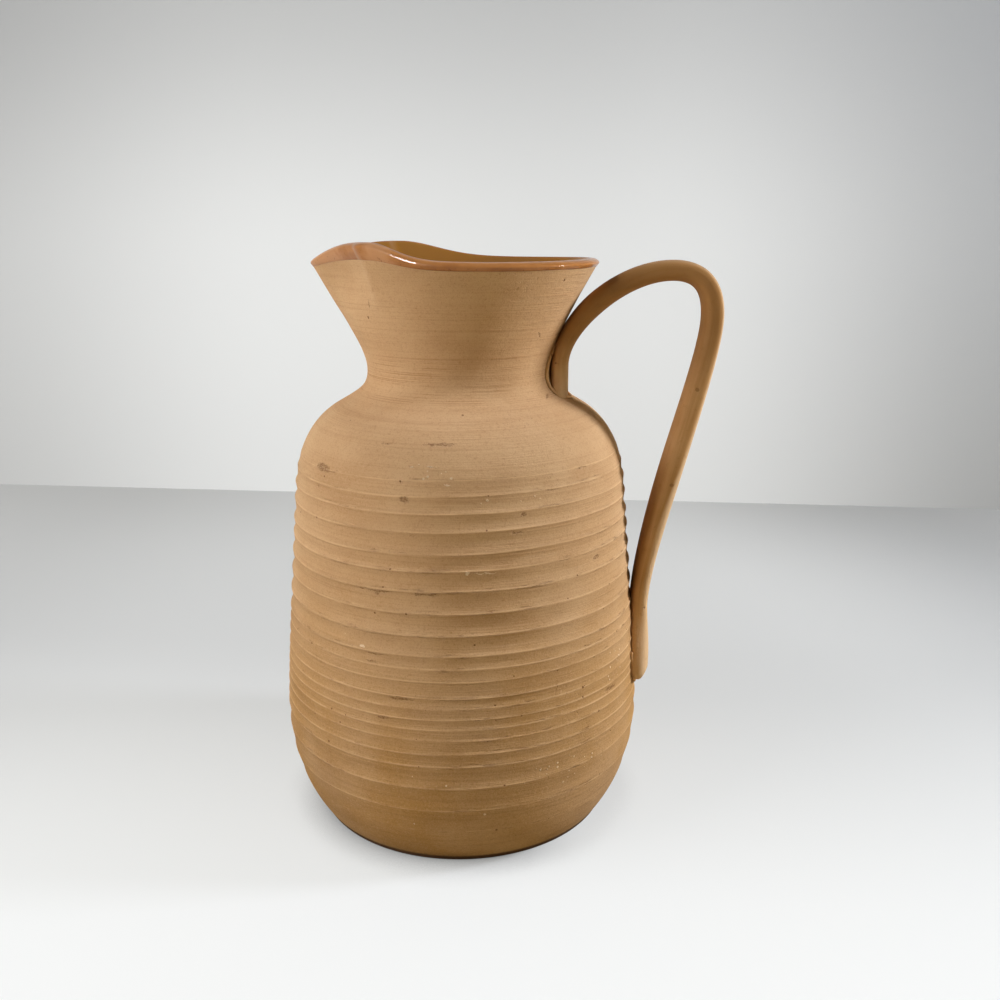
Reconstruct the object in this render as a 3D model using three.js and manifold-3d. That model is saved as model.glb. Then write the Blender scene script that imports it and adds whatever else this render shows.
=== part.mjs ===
// Terracotta pitcher: a wheel-thrown jug with a pulled spout and a strap handle.
// Millimetres, +Z up. The origin is the centre of the foot on the surface it stands on.
// The handle reaches toward +X and the spout toward -X.
import * as THREE from 'three';
import Module from 'manifold-3d';
import { mergeVertices } from 'three/addons/utils/BufferGeometryUtils.js';

// Thrown wall: outside radii, and the rise of each stretch above the one below it
const footRadius = 66.6;
const footRound = 1.6;
const bellyRadius = 80.6;
const bellyRise = 45.4;
const shoulderRadius = 72.7;
const sideRise = 103;
const collarRadius = 53.9;
const shoulderRise = 34;
const throatRadius = 39.7;
const collarRise = 16.5;
const rimRadius = 58.8;
const neckRise = 43.2;

// Slopes of the wall, outward travel for each millimetre of rise
const heelSlope = 0.7;
const sideSlope = -0.085;
const collarSlope = -1.75;
const neckSlope = 0.58;

// Wall, floor and glaze
const bodyWall = 6.2;
const neckWall = 4.8;
const floorThickness = 8;
const innerHeelRise = 26;
const glazeThickness = 0.7;
const seatGap = 0.3;

// Throwing rings on the outside
const ringPitch = 8.4;
const ringDepth = 0.8;
const ringsFoot = 30;
const ringsAboveShoulder = 12;

// Lip and pulled spout
const lipBevel = 2.1;
const lipSoft = 0.25;
const spoutOffLine = THREE.MathUtils.degToRad(3.5);
const spoutReach = 3.9;
const spoutFlankAngle = THREE.MathUtils.degToRad(55);
const spoutFlankLift = 6.6;
const spoutFlankBulge = 2.8;
const spoutTipDrop = 0.6;
const spoutTipRound = THREE.MathUtils.degToRad(7);
const spoutBlend = 0.35;
const spoutStart = -0.1;
const spoutSpan = 0.86;
const frontFlankFade = THREE.MathUtils.degToRad(12);
const backFlankFade = THREE.MathUtils.degToRad(18);
const crestSag = 0.7;
const crestSagAngle = THREE.MathUtils.degToRad(115);
const crestSagFade = THREE.MathUtils.degToRad(33);
const dipDepth = 3.6;
const dipFollow = 0.53;
const dipInside = 9;

// Strap handle: in-plane thickness and width across the jug
const handleReach = 106.9;
const handleTopAboveRim = -5.1;
const archRadius = 90;
const gripDrop = 19;
const rootThickness = 7.4;
const rootWidth = 25.5;
const throatWidth = 21.5;
const rootSquare = 3;
const riseThickness = 9.1;
const archThickness = 8.5;
const archWidth = 18;
const gripThickness = 9.2;
const gripWidth = 18;
const palmThickness = 10;
const heelThickness = 8;
const heelWidth = 19;
const heelStandOff = 2.8;
const heelAbovePad = 27;
const padHeight = 66.3;
const padProud = 4.7;
const padWidth = 34;
const padEnd = 7;
const padLip = 0.35;

// How far each leg of the strap keeps its direction, as a share of that leg
const keepRise = 0.455;
const keepArch = 0.465;
const keepBend = 0.72;
const keepDrop = 0.62;
const keepGrip = 0.17;
const keepHeel = 0.255;
const keepPad = 0.35;

// Slip that seals the handle's two joints
const slipRadius = 1;
const slipClimb = 0.22;

// Mesh fineness
const columns = 48;
const ringRows = 2;
const curveRows = 7;
const strapSides = 14;
const slipSides = 6;

const spoutAngle = Math.PI + spoutOffLine;
const bellyHeight = footRound + bellyRise;
const shoulderHeight = bellyHeight + sideRise;
const collarHeight = shoulderHeight + shoulderRise;
const throatHeight = collarHeight + collarRise;
const ridgeHeight = throatHeight + neckRise;
const rimHeight = ridgeHeight + lipBevel;
const dipHeight = rimHeight - dipDepth;

const clayColour = 0xc29468;
const handleColour = 0xa4794f;
const slipColour = 0x9c6a41;
const linerColour = 0x96631f;
const lipColour = 0xad7a50;

const wasm = await Module();
wasm.setup();

function smooth(t) {
  const c = THREE.MathUtils.clamp(t, 0, 1);
  return c * c * (3 - 2 * c);
}

// One stretch of an outline between two stations, each with its slope and how far that slope is kept
function stretch(from, to) {
  const rise = to.z - from.z;
  const lower = from.keepUp * rise;
  const upper = to.keepDown * rise;
  return new THREE.CubicBezierCurve(
    new THREE.Vector2(from.r, from.z),
    new THREE.Vector2(from.r + from.slope * lower, from.z + lower),
    new THREE.Vector2(to.r - to.slope * upper, to.z - upper),
    new THREE.Vector2(to.r, to.z),
  );
}

const stations = [
  { r: footRadius, z: footRound, slope: heelSlope, keepUp: 0.17 },
  { r: bellyRadius, z: bellyHeight, slope: 0, keepDown: 0.5, keepUp: 0.175 },
  { r: shoulderRadius, z: shoulderHeight, slope: sideSlope, keepDown: 0.27, keepUp: 0.51 },
  { r: collarRadius, z: collarHeight, slope: collarSlope, keepDown: 0.17, keepUp: 0.4 },
  { r: throatRadius, z: throatHeight, slope: 0, keepDown: 0.5, keepUp: 0.22 },
  { r: rimRadius, z: ridgeHeight, slope: neckSlope, keepDown: 0.37 },
];
const outline = stations.slice(1).map((to, i) => stretch(stations[i], to));

// Smooth outside radius at a height, without the throwing rings
function smoothRadius(z) {
  const last = outline[outline.length - 1];
  if (z >= last.v3.y) return last.v3.x + neckSlope * (z - last.v3.y);
  const curve = outline.find((c) => z <= c.v3.y);
  if (z <= curve.v0.y) return curve.v0.x;
  let low = 0;
  let high = 1;
  for (let i = 0; i < 40; i++) {
    const mid = (low + high) / 2;
    if (curve.getPoint(mid).y < z) low = mid;
    else high = mid;
  }
  return curve.getPoint(low).x;
}

const ringsTop = shoulderHeight + ringsAboveShoulder;
const ringCount = Math.floor((ringsTop - ringsFoot) / ringPitch);

// Outside radius with the shallow hollow between two neighbouring rings
function outsideRadius(z) {
  const turn = (z - ringsFoot) / ringPitch;
  const ringed = turn > 0 && turn < ringCount;
  const hollow = ringed ? ringDepth * Math.abs(Math.sin(Math.PI * turn)) : 0;
  return smoothRadius(z) - hollow;
}

// How far the rim's plan stands outside the round rim at an angle from the spout: a blunt beak
const beakTip = rimRadius + spoutReach;
const beakHalfAngle = Math.atan2(
  rimRadius * Math.sin(spoutFlankAngle),
  beakTip - rimRadius * Math.cos(spoutFlankAngle),
);

function softAngle(angle) {
  return Math.hypot(angle, spoutTipRound) - spoutTipRound * Math.exp(-Math.abs(angle) / spoutFlankAngle);
}

function beak(angle) {
  const off = softAngle(angle);
  if (off >= spoutFlankAngle) return 0;
  const radius = beakTip * Math.sin(beakHalfAngle) / Math.sin(beakHalfAngle + off);
  const blend = smooth((spoutFlankAngle - off) / (spoutBlend * spoutFlankAngle));
  return (radius - rimRadius) * blend;
}

// Height of the rim's crest above the level rim at an angle from the spout
function crestLift(angle) {
  const off = softAngle(angle);
  if (off > spoutFlankAngle) {
    const past = (off - spoutFlankAngle) / (angle > 0 ? frontFlankFade : backFlankFade);
    const fromSag = (off - crestSagAngle) / crestSagFade;
    return spoutFlankLift * Math.exp(-past * past / 2) - crestSag * Math.exp(-fromSag * fromSag / 2);
  }
  const left = 1 - off / spoutFlankAngle;
  return spoutFlankLift - (spoutFlankLift + spoutTipDrop) * Math.pow(left, spoutFlankBulge);
}

// The share of the spout's shape that has come in at a height
function spoutShare(z) {
  return smooth((z - throatHeight - spoutStart * neckRise) / (spoutSpan * neckRise));
}

function angleFromSpout(angle) {
  return Math.atan2(Math.sin(angle - spoutAngle), Math.cos(angle - spoutAngle));
}

// Place a point of the round outline on the jug, with the spout pulled out of the neck
function placed(r, z, angle) {
  const fromSpout = angleFromSpout(angle);
  const share = spoutShare(z);
  const radius = r < 1e-9 ? 0 : r + share * beak(fromSpout);
  const lift = smooth((z - throatHeight) / neckRise) * crestLift(fromSpout);
  return new THREE.Vector3(radius * Math.cos(angle), radius * Math.sin(angle), z + lift);
}

// Move an open outline sideways, to its left as it is walked, which is into the clay
function offsetOutline(points, distance) {
  return points.map((p, i) => {
    const before = points[Math.max(i - 1, 0)];
    const after = points[Math.min(i + 1, points.length - 1)];
    const a = new THREE.Vector2().subVectors(p, before).normalize();
    const b = new THREE.Vector2().subVectors(after, p).normalize();
    if (i === 0) a.copy(b);
    if (i === points.length - 1) b.copy(a);
    const normal = new THREE.Vector2(-a.y - b.y, a.x + b.x).normalize();
    const mitre = Math.max(0.5, normal.dot(new THREE.Vector2(-a.y, a.x)));
    const moved = p.clone().addScaledVector(normal, distance / mitre);
    if (p.x === 0) moved.x = 0;
    return moved;
  });
}

// Skin rows of points into one closed surface: each row is a ring, or a single point on the axis.
// A quad is split along its shorter diagonal, so two skins that lie side by side bend the same way.
function skin(rows) {
  const points = rows.flat();
  const starts = [];
  let count = 0;
  for (const row of rows) {
    starts.push(count);
    count += row.length;
  }
  const index = [];
  for (let i = 0; i + 1 < rows.length; i++) {
    const n = Math.max(rows[i].length, rows[i + 1].length);
    for (let j = 0; j < n; j++) {
      const k = (j + 1) % n;
      const a = starts[i] + (rows[i].length > 1 ? j : 0);
      const b = starts[i] + (rows[i].length > 1 ? k : 0);
      const c = starts[i + 1] + (rows[i + 1].length > 1 ? k : 0);
      const d = starts[i + 1] + (rows[i + 1].length > 1 ? j : 0);
      if (a === b) index.push(a, c, d);
      else if (c === d) index.push(a, b, c);
      else if (points[a].distanceTo(points[c]) <= points[b].distanceTo(points[d])) {
        index.push(a, b, c, a, c, d);
      } else {
        index.push(a, b, d, b, c, d);
      }
    }
  }
  const position = points.flatMap((p) => [p.x, p.y, p.z]);
  const geometry = new THREE.BufferGeometry();
  geometry.setAttribute('position', new THREE.Float32BufferAttribute(position, 3));
  geometry.setIndex(index);
  return geometry;
}

// Turn an outline about the axis. A point on the dip line gives only its inset from the wall, because
// the dip line stays nearly level while the crest above it rises along the spout's flanks.
function turned(points) {
  return points.map((p) => {
    if (p.x === 0) return [placed(0, p.y, 0)];
    const ring = [];
    for (let j = 0; j < columns; j++) {
      const angle = 2 * Math.PI * j / columns;
      if (p.onDipLine) {
        const z = p.z - (1 - dipFollow) * crestLift(angleFromSpout(angle));
        ring.push(placed(smoothRadius(z) - p.inset, z, angle));
      } else {
        ring.push(placed(p.x, p.y, angle));
      }
    }
    return ring;
  });
}

function dipPoint(inset, above) {
  return { onDipLine: true, inset: inset * Math.hypot(1, neckSlope), z: dipHeight + above };
}

function closed(rows) {
  return skin([...rows, rows[0]]);
}

function toSolid(geometry) {
  const bare = geometry.clone();
  for (const name of Object.keys(bare.attributes)) {
    if (name !== 'position') bare.deleteAttribute(name);
  }
  const merged = mergeVertices(bare, 1e-5);
  return new wasm.Manifold(new wasm.Mesh({
    numProp: 3,
    vertProperties: new Float32Array(merged.attributes.position.array),
    triVerts: new Uint32Array(merged.index.array),
  }));
}

function toGeometry(solid) {
  const mesh = solid.getMesh();
  const geometry = new THREE.BufferGeometry();
  geometry.setAttribute('position', new THREE.Float32BufferAttribute(mesh.vertProperties, 3));
  geometry.setIndex(new THREE.Uint32BufferAttribute(mesh.triVerts, 1));
  geometry.computeVertexNormals();
  return geometry;
}

function named(name, geometry, colour, roughness) {
  const material = new THREE.MeshStandardMaterial({ color: colour, roughness, metalness: 0 });
  const mesh = new THREE.Mesh(geometry, material);
  mesh.name = name;
  return mesh;
}

// Heights of the wall's rows from the heel to the lip's ridge
function spaced(from, to, count) {
  return Array.from({ length: count }, (_, i) => from + (to - from) * (i + 1) / count);
}

function outsideHeights() {
  const heel = spaced(footRound, ringsFoot, curveRows - 2);
  const rings = spaced(ringsFoot, ringsFoot + ringCount * ringPitch, ringCount * ringRows);
  const shoulder = spaced(rings[rings.length - 1], collarHeight, curveRows - 3);
  const collar = spaced(collarHeight, throatHeight, curveRows - 3);
  const neck = spaced(throatHeight, dipHeight - spoutFlankLift, curveRows - 1);
  return [footRound, ...heel, ...rings, ...shoulder, ...collar, ...neck];
}

// Visible outline of the lip from the outer ridge over the crest to the inside
const lipTop = rimRadius - lipBevel;
const lipInside = rimRadius - neckWall;
const lipOutline = [
  new THREE.Vector2(rimRadius, ridgeHeight),
  new THREE.Vector2(lipTop + lipSoft * lipBevel, rimHeight - lipSoft * lipBevel),
  new THREE.Vector2((lipTop + lipInside + lipSoft * lipBevel) / 2, rimHeight),
  new THREE.Vector2(lipInside + lipSoft * lipBevel, rimHeight - lipSoft * lipBevel),
  new THREE.Vector2(lipInside, ridgeHeight),
];

// Wall at a height, thinning from the body to the neck
function wallAt(z) {
  return bodyWall + (neckWall - bodyWall) * smooth((z - shoulderHeight) / (throatHeight - shoulderHeight));
}

// Visible inside from the liner's upper edge down to the middle of the floor
const linerTop = rimHeight - dipInside;

function insidePoint(z) {
  return new THREE.Vector2(smoothRadius(z) - wallAt(z), z);
}

function insideOutline() {
  const heelTop = floorThickness + innerHeelRise;
  const neck = [linerTop, ...spaced(linerTop, throatHeight, 4)];
  const collar = spaced(throatHeight, collarHeight, 3);
  const shoulder = spaced(collarHeight, shoulderHeight, 4);
  const side = spaced(shoulderHeight, heelTop, 3);
  const points = [...neck, ...collar, ...shoulder, ...side].map(insidePoint);
  const corner = points[points.length - 1];
  const floorRadius = corner.x - innerHeelRise;
  for (const t of [0.33, 0.67, 1]) {
    const turn = t * Math.PI / 2;
    const x = floorRadius + innerHeelRise * Math.cos(turn);
    points.push(new THREE.Vector2(x, heelTop - innerHeelRise * Math.sin(turn)));
  }
  points.push(new THREE.Vector2(0, floorThickness));
  return points;
}

const inside = insideOutline();
const recess = glazeThickness + seatGap;

// The thrown body: foot, ringed wall, shoulder, neck and lip, hollow inside
function thrownBody() {
  const outer = outsideHeights().map((z) => new THREE.Vector2(outsideRadius(z), z));
  const dip = new THREE.Vector2(smoothRadius(dipHeight), dipHeight);
  const clay = offsetOutline([dip, ...lipOutline, ...inside], recess).slice(1);
  const foot = [new THREE.Vector2(0, 0), new THREE.Vector2(footRadius - footRound, 0)];
  return skin(turned([...foot, ...outer, dipPoint(0, 0), dipPoint(recess, 0), ...clay]));
}

// Poured glaze that seals the inside, in one skin from the floor to just below the lip
function linerGlaze() {
  const back = offsetOutline(inside, glazeThickness);
  return skin(turned([...back.reverse(), ...inside]));
}

// Dipped glaze that caps the lip, from the dip line outside to the liner inside
function rimGlaze() {
  const dip = new THREE.Vector2(smoothRadius(dipHeight), dipHeight);
  const seen = [dip, ...lipOutline, insidePoint(linerTop + seatGap)];
  const back = offsetOutline(seen, glazeThickness).slice(1).reverse();
  const edge = [dipPoint(glazeThickness, seatGap), dipPoint(0, seatGap)];
  return closed(turned([...edge, ...seen.slice(1), ...back]));
}

// The space that the jug's outside takes up, grown by a margin, for seating the handle against it
function wallBlock(margin) {
  const outer = outsideHeights().map((z) => new THREE.Vector2(outsideRadius(z) + margin, z));
  const points = [new THREE.Vector2(0, -margin), new THREE.Vector2(footRadius, -margin), ...outer];
  points.push(new THREE.Vector2(rimRadius + margin, ridgeHeight), new THREE.Vector2(0, ridgeHeight));
  return toSolid(skin(turned(points)));
}

// Strap handle, swept from its root on the throat, over the arch and down to the pad on the wall
function bezier(a, b, c, d) {
  return new THREE.CubicBezierCurve(...[a, b, c, d].map(([x, z]) => new THREE.Vector2(x, z)));
}

const rootX = throatRadius + rootThickness / 2;
const archZ = rimHeight + handleTopAboveRim;
const gripZ = archZ - gripDrop;
const heelZ = padHeight + heelAbovePad;
const heelX = smoothRadius(heelZ) + heelStandOff;
const padX = smoothRadius(padHeight);
const archRise = archZ - throatHeight;
const archRun = archRadius - rootX;
const gripFall = gripZ - heelZ;

const strapLegs = [
  {
    curve: bezier(
      [rootX, collarHeight], [rootX, collarHeight + collarRise / 3],
      [rootX, throatHeight - collarRise / 3], [rootX, throatHeight],
    ),
    thickness: [rootThickness, rootThickness],
    width: [rootWidth, throatWidth], square: [rootSquare, rootSquare], steps: 4,
  },
  {
    curve: bezier(
      [rootX, throatHeight], [rootX, throatHeight + keepRise * archRise],
      [archRadius - keepArch * archRun, archZ], [archRadius, archZ],
    ),
    thickness: [rootThickness, riseThickness, archThickness],
    width: [throatWidth, archWidth], square: [rootSquare, 2.8], steps: 9,
  },
  {
    curve: bezier(
      [archRadius, archZ], [archRadius + keepBend * (handleReach - archRadius), archZ],
      [handleReach, gripZ + keepDrop * gripDrop], [handleReach, gripZ],
    ),
    thickness: [archThickness, gripThickness],
    width: [archWidth, gripWidth], square: [2.8, 2.8], steps: 7,
  },
  {
    curve: bezier(
      [handleReach, gripZ], [handleReach, gripZ - keepGrip * gripFall],
      [heelX, heelZ + keepHeel * gripFall], [heelX, heelZ],
    ),
    thickness: [gripThickness, palmThickness, heelThickness],
    width: [gripWidth, heelWidth], square: [2.8, 2.4], steps: 10,
  },
  {
    curve: bezier(
      [heelX, heelZ], [heelX, heelZ - keepPad * heelAbovePad],
      [padX, padHeight + keepPad * heelAbovePad], [padX, padHeight],
    ),
    thickness: [heelThickness, 2 * padProud],
    width: [heelWidth, padWidth], square: [2.4, 2], steps: 5,
  },
];

// Stations along the strap: centre, direction, thickness, width and squareness of the section
function strapStations() {
  const list = [];
  for (const leg of strapLegs) {
    for (let i = list.length ? 1 : 0; i <= leg.steps; i++) {
      const t = i / leg.steps;
      const ease = smooth(t);
      const mix = (values) => {
        if (values.length === 2) return values[0] + (values[1] - values[0]) * ease;
        const [from, middle, to] = values;
        return t < 0.5
          ? from + (middle - from) * smooth(2 * t)
          : middle + (to - middle) * smooth(2 * t - 1);
      };
      list.push({
        centre: leg.curve.getPointAt(t),
        along: leg.curve.getTangentAt(t),
        thickness: mix(leg.thickness),
        width: mix(leg.width),
        square: mix(leg.square),
      });
    }
  }
  const pad = list[list.length - 1];
  for (const t of [0.35, 0.65, 0.88, 0.98]) {
    const round = Math.sqrt(1 - t * t);
    list.push({
      centre: new THREE.Vector2(smoothRadius(padHeight - t * padEnd), padHeight - t * padEnd),
      along: pad.along,
      thickness: pad.thickness * (padLip + (1 - padLip) * round),
      width: pad.width * round,
      square: pad.square,
    });
  }
  return list;
}

// One section of the strap, as a superellipse square to the strap's direction
function strapSection(station, grow) {
  const normal = new THREE.Vector2(station.along.y, -station.along.x);
  const half = station.thickness / 2 + grow;
  const across = station.width / 2 + grow;
  const power = 2 / station.square;
  const ring = [];
  for (let j = 0; j < strapSides; j++) {
    const turn = 2 * Math.PI * (j + 0.5) / strapSides;
    const c = Math.cos(turn);
    const s = Math.sin(turn);
    const out = half * Math.sign(c) * Math.pow(Math.abs(c), power);
    const side = across * Math.sign(s) * Math.pow(Math.abs(s), power);
    ring.push(new THREE.Vector3(station.centre.x + normal.x * out, side, station.centre.y + normal.y * out));
  }
  return ring;
}

function strapSweep(grow) {
  const list = strapStations();
  const rows = list.map((station) => strapSection(station, grow));
  const ends = [list[0], list[list.length - 1]].map((s) => [new THREE.Vector3(s.centre.x, 0, s.centre.y)]);
  return toSolid(skin([ends[0], ...rows, ends[1]]));
}

// A bead of slip that follows a joint: down one side of the strap, round its end and up the other
function slipBead(path) {
  const curve = new THREE.CatmullRomCurve3(path, false, 'centripetal');
  const shape = new THREE.Shape();
  for (let j = 0; j < slipSides; j++) {
    const turn = 2 * Math.PI * j / slipSides;
    const x = slipRadius * Math.cos(turn);
    const y = slipRadius * Math.sin(turn);
    if (j === 0) shape.moveTo(x, y);
    else shape.lineTo(x, y);
  }
  shape.closePath();
  const steps = 2 * path.length;
  return new THREE.ExtrudeGeometry(shape, { steps, bevelEnabled: false, extrudePath: curve });
}

const slipSide = 0.5 * slipRadius;
const slipOff = 0.4 * slipRadius;

// A point just off the wall, at a height and a distance across the jug
function offWall(z, across) {
  const radius = smoothRadius(z) + slipOff;
  return new THREE.Vector3(Math.sqrt(Math.max(radius * radius - across * across, 0)), across, z);
}

// Height at which the shoulder, below the throat, reaches a radius
function shoulderHeightAt(radius) {
  let low = collarHeight;
  let high = throatHeight;
  for (let i = 0; i < 30; i++) {
    const mid = (low + high) / 2;
    if (smoothRadius(mid) > radius) low = mid;
    else high = mid;
  }
  return low;
}

function mirrored(half) {
  const other = half.slice(0, -1).reverse().map((p) => new THREE.Vector3(p.x, -p.y, p.z));
  return [...half, ...other];
}

// The upper joint: the strap's sides against the throat, and its end face down on the shoulder
function upperJointPath() {
  const side = rootWidth / 2 + slipSide;
  const reach = rootThickness / 2 + slipSide;
  const narrowing = (rootWidth - throatWidth) / 2;
  const half = [1, 0.5, 0].map((share) => {
    return offWall(throatHeight + share * slipClimb * archRise, -side + narrowing);
  });
  for (const turn of [40, 60, 75, 90].map(THREE.MathUtils.degToRad)) {
    const x = rootX + reach * Math.pow(Math.sin(turn), 2 / rootSquare);
    const y = -side * Math.pow(Math.max(Math.cos(turn), 0), 2 / rootSquare);
    half.push(new THREE.Vector3(x, y, shoulderHeightAt(Math.hypot(x, y)) + slipOff));
  }
  return mirrored(half);
}

// The lower joint: round the pad where its edge meets the wall
function lowerJointPath() {
  const half = [offWall(padHeight + 0.6 * padEnd, -0.47 * padWidth - slipSide)];
  for (const turn of [0, 25, 50, 70, 90].map(THREE.MathUtils.degToRad)) {
    const z = padHeight - (padEnd + slipSide) * Math.sin(turn);
    half.push(offWall(z, -(padWidth / 2 + slipSide) * Math.max(Math.cos(turn), 0)));
  }
  return mirrored(half);
}

const jug = new THREE.Group();
const wallCut = wallBlock(seatGap);
const strapCut = strapSweep(seatGap);

function strapHandle() {
  return toGeometry(strapSweep(0).subtract(wallCut));
}

function jointSlip(path) {
  const bead = toSolid(slipBead(path));
  return toGeometry(bead.subtract(wallCut).subtract(strapCut));
}

jug.add(named('thrown_body', thrownBody(), clayColour, 0.9));
jug.add(named('liner_glaze', linerGlaze(), linerColour, 0.15));
jug.add(named('rim_glaze', rimGlaze(), lipColour, 0.2));
jug.add(named('strap_handle', strapHandle(), handleColour, 0.9));
jug.add(named('upper_joint_slip', jointSlip(upperJointPath()), slipColour, 0.85));
jug.add(named('lower_joint_slip', jointSlip(lowerJointPath()), slipColour, 0.85));

export default jug;
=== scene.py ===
# Terracotta pitcher: the thrown body, the glazes, the strap handle and its joints, on a pale table.
# Sizes are millimetres until a mesh is made. The handle reaches toward +X and the spout toward -X.
import math

import bpy
import numpy as np
from mathutils import Euler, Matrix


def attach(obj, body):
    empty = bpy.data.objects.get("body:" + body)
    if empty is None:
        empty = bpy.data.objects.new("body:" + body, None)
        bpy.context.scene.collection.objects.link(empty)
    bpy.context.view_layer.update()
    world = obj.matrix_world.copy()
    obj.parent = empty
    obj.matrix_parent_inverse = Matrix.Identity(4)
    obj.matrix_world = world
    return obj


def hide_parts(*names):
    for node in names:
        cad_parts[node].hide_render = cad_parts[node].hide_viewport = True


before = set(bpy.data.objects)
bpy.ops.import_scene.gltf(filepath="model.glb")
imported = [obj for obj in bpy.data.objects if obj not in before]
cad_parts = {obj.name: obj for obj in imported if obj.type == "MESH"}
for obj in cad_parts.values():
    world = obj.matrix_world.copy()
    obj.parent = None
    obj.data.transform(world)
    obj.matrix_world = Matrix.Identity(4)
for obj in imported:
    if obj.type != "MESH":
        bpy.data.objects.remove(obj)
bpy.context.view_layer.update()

MM = 0.001
TAU = 2 * math.pi

# Thrown wall, as in the part's source
FOOT_RADIUS = 66.6
FOOT_ROUND = 1.6
BELLY_RADIUS = 80.6
SHOULDER_RADIUS = 72.7
COLLAR_RADIUS = 53.9
THROAT_RADIUS = 39.7
RIM_RADIUS = 58.8
BELLY_Z = FOOT_ROUND + 45.4
SHOULDER_Z = BELLY_Z + 103
COLLAR_Z = SHOULDER_Z + 34
THROAT_Z = COLLAR_Z + 16.5
NECK_RISE = 43.2
RIDGE_Z = THROAT_Z + NECK_RISE
LIP_BEVEL = 2.1
RIM_Z = RIDGE_Z + LIP_BEVEL
DIP_DEPTH = 3.6
DIP_Z = RIM_Z - DIP_DEPTH
HEEL_SLOPE = 0.7
SIDE_SLOPE = -0.085
COLLAR_SLOPE = -1.75
NECK_SLOPE = 0.58
BODY_WALL = 6.2
NECK_WALL = 4.8
FLOOR_THICKNESS = 8
INNER_HEEL_RISE = 26
GLAZE_THICKNESS = 0.7
SEAT_GAP = 0.3

# Spout, as in the part's source
SPOUT_ANGLE = math.pi + math.radians(3.5)
SPOUT_REACH = 3.9
FLANK_ANGLE = math.radians(55)
FLANK_LIFT = 6.6
FLANK_BULGE = 2.8
TIP_DROP = 0.6
TIP_ROUND = math.radians(7)
CREASE_BLEND = 0.2
CREASE_START = 0.25
CREASE_SPAN = 0.6
SPOUT_START = -0.1
SPOUT_SPAN = 0.86
FRONT_FADE = math.radians(12)
BACK_FADE = math.radians(18)
CREST_SAG = 0.7
SAG_ANGLE = math.radians(115)
SAG_FADE = math.radians(33)
DIP_FOLLOW = 0.53
DIP_INSIDE = 9

# Strap handle, as in the part's source
HANDLE_REACH = 106.78
ARCH_Z = RIM_Z - 5.1
ARCH_RADIUS = 90
GRIP_DROP = 19
ROOT_THICKNESS = 7.4
ROOT_WIDTH = 25.5
THROAT_WIDTH = 21.5
ROOT_SQUARE = 3.2
RISE_THICKNESS = 9.1
ARCH_THICKNESS = 8.5
ARCH_WIDTH = 18
ARCH_SQUARE = 3.4
GRIP_THICKNESS = 9.2
GRIP_WIDTH = 18
PALM_THICKNESS = 10
HEEL_THICKNESS = 8
HEEL_WIDTH = 19
HEEL_SQUARE = 4.0
HEEL_STAND_OFF = 2.8
HEEL_ABOVE_PAD = 27
PAD_Z = 66.3
PAD_PROUD = 4.7
PAD_WIDTH = 34
PAD_SQUARE = 3.0
PAD_END = 7
PAD_LIP = 0.35
SLANT_Z = 67.0
PAD_FULLNESS = 1.3
PAD_FULL_TOP = 96
PAD_FULL_SPAN = 24
KEEP_RISE = 0.455
KEEP_ARCH = 0.465
KEEP_BEND = 0.72
KEEP_DROP = 0.62
KEEP_GRIP = 0.17
KEEP_HEEL = 0.255
KEEP_PAD = 0.35

# Throwing rings: height of each crest on the side away from the wall, and how strong it is
RINGS = [
    (165.5, 0.35), (159.7, 0.8), (153.0, 0.95), (146.1, 1.0), (137.6, 1.0), (131.0, 0.9),
    (122.8, 1.0), (114.2, 1.0), (105.5, 1.05), (97.1, 0.95), (91.8, 0.45), (87.0, 0.8),
    (80.4, 0.85), (75.9, 0.5), (71.4, 0.75), (67.2, 0.5), (62.6, 0.7), (56.7, 0.6),
    (51.6, 0.75), (42.3, 0.4), (31.1, 0.35), (19.5, 0.2),
]
RING_GAPS = np.array([a[0] - b[0] for a, b in zip(RINGS, RINGS[1:])] + [8.0])
RING_STRENGTHS = np.array([strength for _, strength in RINGS])
# Rows of a ring, as shares of the way down to the next crest; a narrow ring takes every other one
RING_STEPS = [0.0, 0.035, 0.09, 0.17, 0.27, 0.38, 0.5, 0.62, 0.74, 0.84, 0.91, 0.965]
NARROW_RING = 5
# The crests lie on a slant that is highest in this direction
RING_TILT = 0.9
TILT_TOWARD = math.radians(8)
# Depth of a hollow as a share of its height, and how much it varies round the jug
RING_DEPTH = 0.09
RING_UNEVEN = 0.38
# Burr that the finger left along each crest: height, and how far it reaches up and down
RING_BURR = 0.24
BURR_REACH = 0.34


def smooth(t):
    c = np.clip(t, 0, 1)
    return c * c * (3 - 2 * c)


def mix(a, b, t):
    return a + (b - a) * t


def cubic(a, b, c, d, t):
    """Points of a Bezier curve, one row for each t."""
    t = np.asarray(t, float)[:, None]
    a, b, c, d = (np.asarray(p, float) for p in (a, b, c, d))
    return (1 - t) ** 3 * a + 3 * (1 - t) ** 2 * t * b + 3 * (1 - t) * t * t * c + t ** 3 * d


def stretch(start, end):
    rise = end["z"] - start["z"]
    lower, upper = start["up"] * rise, end["down"] * rise
    return cubic(
        (start["r"], start["z"]), (start["r"] + start["slope"] * lower, start["z"] + lower),
        (end["r"] - end["slope"] * upper, end["z"] - upper), (end["r"], end["z"]),
        np.linspace(0, 1, 240),
    )


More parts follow.
